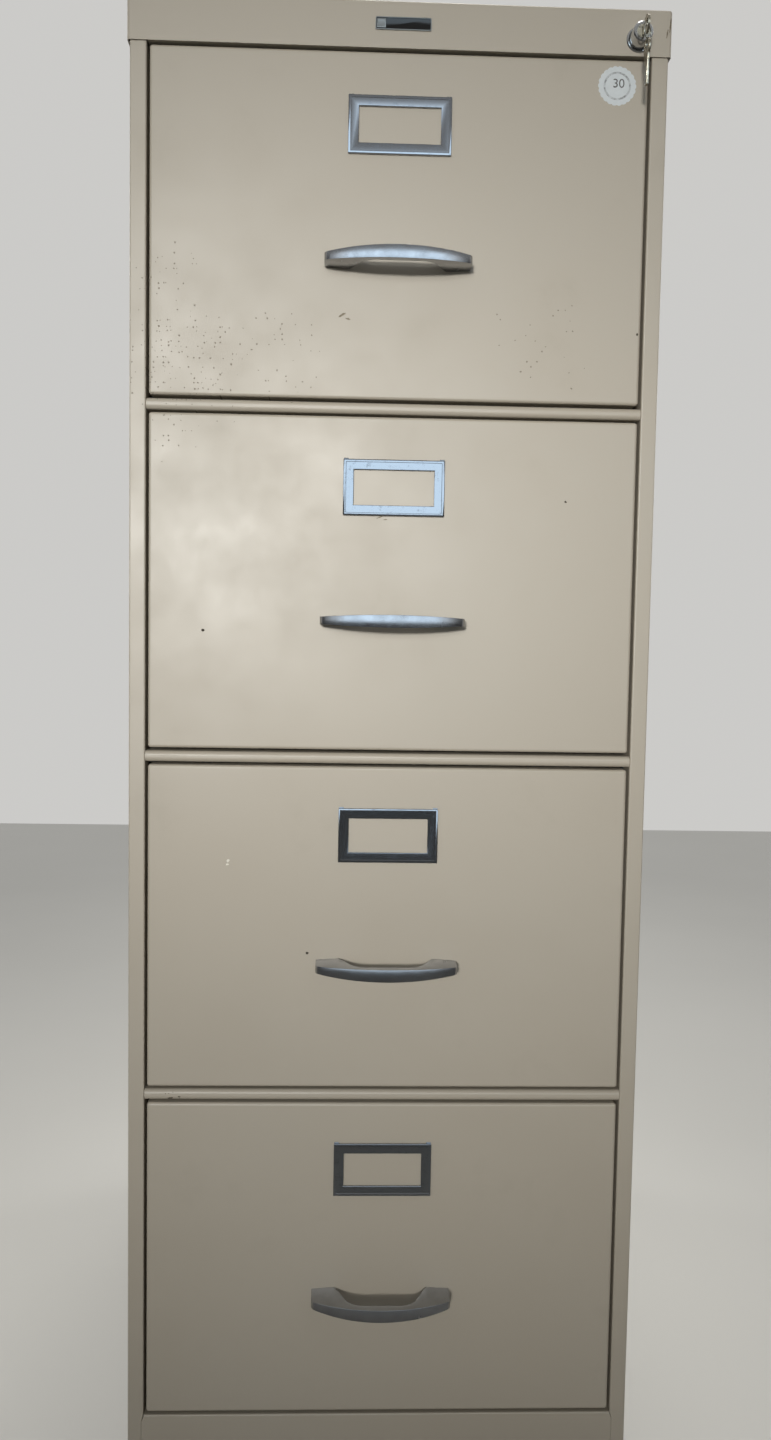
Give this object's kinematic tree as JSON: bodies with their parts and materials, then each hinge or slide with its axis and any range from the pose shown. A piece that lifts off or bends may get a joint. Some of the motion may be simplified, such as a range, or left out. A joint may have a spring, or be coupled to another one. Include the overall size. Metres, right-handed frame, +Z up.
{
  "type": "filing cabinet",
  "caption": "Free-standing steel filing cabinet with full-extension drawers on roller cradles, arched pulls, label frames and a push lock that bars the drawers.",
  "frame": {"origin": "on the floor, under the middle of the whole outline", "axes": "+Z up, the drawers open towards -Y, +X to the right of someone facing the drawers"},
  "size_m": [0.4612, 0.7171, 1.3208],
  "materials": {
    "putty_enamel": "semi-gloss baked enamel, putty",
    "follower_enamel": "grey enamel",
    "galvanised_steel": "galvanised",
    "zinc_channel": "zinc plated",
    "roller_steel": "pressed steel roller",
    "screw_steel": "zinc plated",
    "chrome_lock": "bright plated",
    "brass_plug": "worn brass",
    "nickel_key": "nickel plated",
    "ring_wire": "spring wire",
    "aluminium_pull": "cast, satin with worn edges",
    "aluminium_frame": "satin, bevelled rim",
    "badge_metal": "satin rim round a dark field",
    "glide_nylon": "black nylon"
  },
  "bodies": {
    "case": {"side_panel_left": "putty_enamel", "side_panel_right": "putty_enamel", "back_panel": "putty_enamel", "top_cap": "putty_enamel", "bottom_pan": "putty_enamel", "base_panel": "putty_enamel", "cross_rails": "putty_enamel", "uprights": "galvanised_steel", "case_channels_left": "zinc_channel", "case_channels_right": "zinc_channel", "case_rollers": "roller_steel", "lock_housing": "chrome_lock", "badge_plate": "badge_metal", "glides": "glide_nylon"},
    "drawer_1": {"drawer_front_1": "putty_enamel", "drawer_tray_1": "putty_enamel", "handle_1": "aluminium_pull", "label_holder_1": "aluminium_frame", "handle_screws_1": "screw_steel", "drawer_channels_1": "zinc_channel", "drawer_rollers_1": "roller_steel"},
    "cradle_pair_1": {"cradle_1": "zinc_channel", "cradle_rollers_1": "roller_steel"},
    "follower_block_1": {"follower_1": "follower_enamel"},
    "drawer_2": {"drawer_front_2": "putty_enamel", "drawer_tray_2": "putty_enamel", "handle_2": "aluminium_pull", "label_holder_2": "aluminium_frame", "handle_screws_2": "screw_steel", "drawer_channels_2": "zinc_channel", "drawer_rollers_2": "roller_steel"},
    "cradle_pair_2": {"cradle_2": "zinc_channel", "cradle_rollers_2": "roller_steel"},
    "follower_block_2": {"follower_2": "follower_enamel"},
    "drawer_3": {"drawer_front_3": "putty_enamel", "drawer_tray_3": "putty_enamel", "handle_3": "aluminium_pull", "label_holder_3": "aluminium_frame", "handle_screws_3": "screw_steel", "drawer_channels_3": "zinc_channel", "drawer_rollers_3": "roller_steel"},
    "cradle_pair_3": {"cradle_3": "zinc_channel", "cradle_rollers_3": "roller_steel"},
    "follower_block_3": {"follower_3": "follower_enamel"},
    "drawer_4": {"drawer_front_4": "putty_enamel", "drawer_tray_4": "putty_enamel", "handle_4": "aluminium_pull", "label_holder_4": "aluminium_frame", "handle_screws_4": "screw_steel", "drawer_channels_4": "zinc_channel", "drawer_rollers_4": "roller_steel"},
    "cradle_pair_4": {"cradle_4": "zinc_channel", "cradle_rollers_4": "roller_steel"},
    "follower_block_4": {"follower_4": "follower_enamel"},
    "plunger": {"lock_plunger": "chrome_lock"},
    "plug": {"lock_plug": "brass_plug"},
    "key": {"lock_key": "nickel_key"},
    "ring": {"key_ring": "ring_wire"},
    "locking_bar": {"lock_bar": "galvanised_steel"}
  },
  "joints": [
    {"name": "drawer_1_slide", "type": "slide", "parent": "case", "child": "drawer_1", "axis": [0, -1, 0], "range_m": [0, 0.6]},
    {"name": "cradle_1_slide", "type": "slide", "parent": "case", "child": "cradle_pair_1", "axis": [0, -1, 0], "range_m": [0, 0.3]},
    {"name": "follower_1_slide", "type": "slide", "parent": "drawer_1", "child": "follower_block_1", "axis": [0, -1, 0], "range_m": [0, 0.4]},
    {"name": "drawer_2_slide", "type": "slide", "parent": "case", "child": "drawer_2", "axis": [0, -1, 0], "range_m": [0, 0.6]},
    {"name": "cradle_2_slide", "type": "slide", "parent": "case", "child": "cradle_pair_2", "axis": [0, -1, 0], "range_m": [0, 0.3]},
    {"name": "follower_2_slide", "type": "slide", "parent": "drawer_2", "child": "follower_block_2", "axis": [0, -1, 0], "range_m": [0, 0.4]},
    {"name": "drawer_3_slide", "type": "slide", "parent": "case", "child": "drawer_3", "axis": [0, -1, 0], "range_m": [0, 0.6]},
    {"name": "cradle_3_slide", "type": "slide", "parent": "case", "child": "cradle_pair_3", "axis": [0, -1, 0], "range_m": [0, 0.3]},
    {"name": "follower_3_slide", "type": "slide", "parent": "drawer_3", "child": "follower_block_3", "axis": [0, -1, 0], "range_m": [0, 0.4]},
    {"name": "drawer_4_slide", "type": "slide", "parent": "case", "child": "drawer_4", "axis": [0, -1, 0], "range_m": [0, 0.6]},
    {"name": "cradle_4_slide", "type": "slide", "parent": "case", "child": "cradle_pair_4", "axis": [0, -1, 0], "range_m": [0, 0.3]},
    {"name": "follower_4_slide", "type": "slide", "parent": "drawer_4", "child": "follower_block_4", "axis": [0, -1, 0], "range_m": [0, 0.4]},
    {"name": "plunger_slide", "type": "slide", "parent": "case", "child": "plunger", "axis": [0, 1, 0], "range_m": [0, 0.012], "stiffness_N_per_m": 800, "springref_m": -0.004},
    {"name": "lock_bar_slide", "type": "slide", "parent": "case", "child": "locking_bar", "axis": [0, 0, -1], "range_m": [0, 0.012]},
    {"name": "plug_turn", "type": "hinge", "parent": "plunger", "child": "plug", "pos_m": [0.2023, -0.32655, 1.2952], "axis": [0, 1, 0], "range_deg": [0, 90]},
    {"name": "key_slide", "type": "slide", "parent": "plug", "child": "key", "axis": [0, -1, 0], "range_m": [0, 0.024]},
    {"name": "ring_swing", "type": "hinge", "parent": "key", "child": "ring", "pos_m": [0.2023, -0.35215, 1.2933], "axis": [0.6428, 0.766, 0], "range_deg": [-15, 15]}
  ],
  "couplings": [
    {"joint": "cradle_1_slide", "follows": "drawer_1_slide", "ratio": 0.5},
    {"joint": "cradle_2_slide", "follows": "drawer_2_slide", "ratio": 0.5},
    {"joint": "cradle_3_slide", "follows": "drawer_3_slide", "ratio": 0.5},
    {"joint": "cradle_4_slide", "follows": "drawer_4_slide", "ratio": 0.5},
    {"joint": "lock_bar_slide", "follows": "plunger_slide", "ratio": 1}
  ]
}
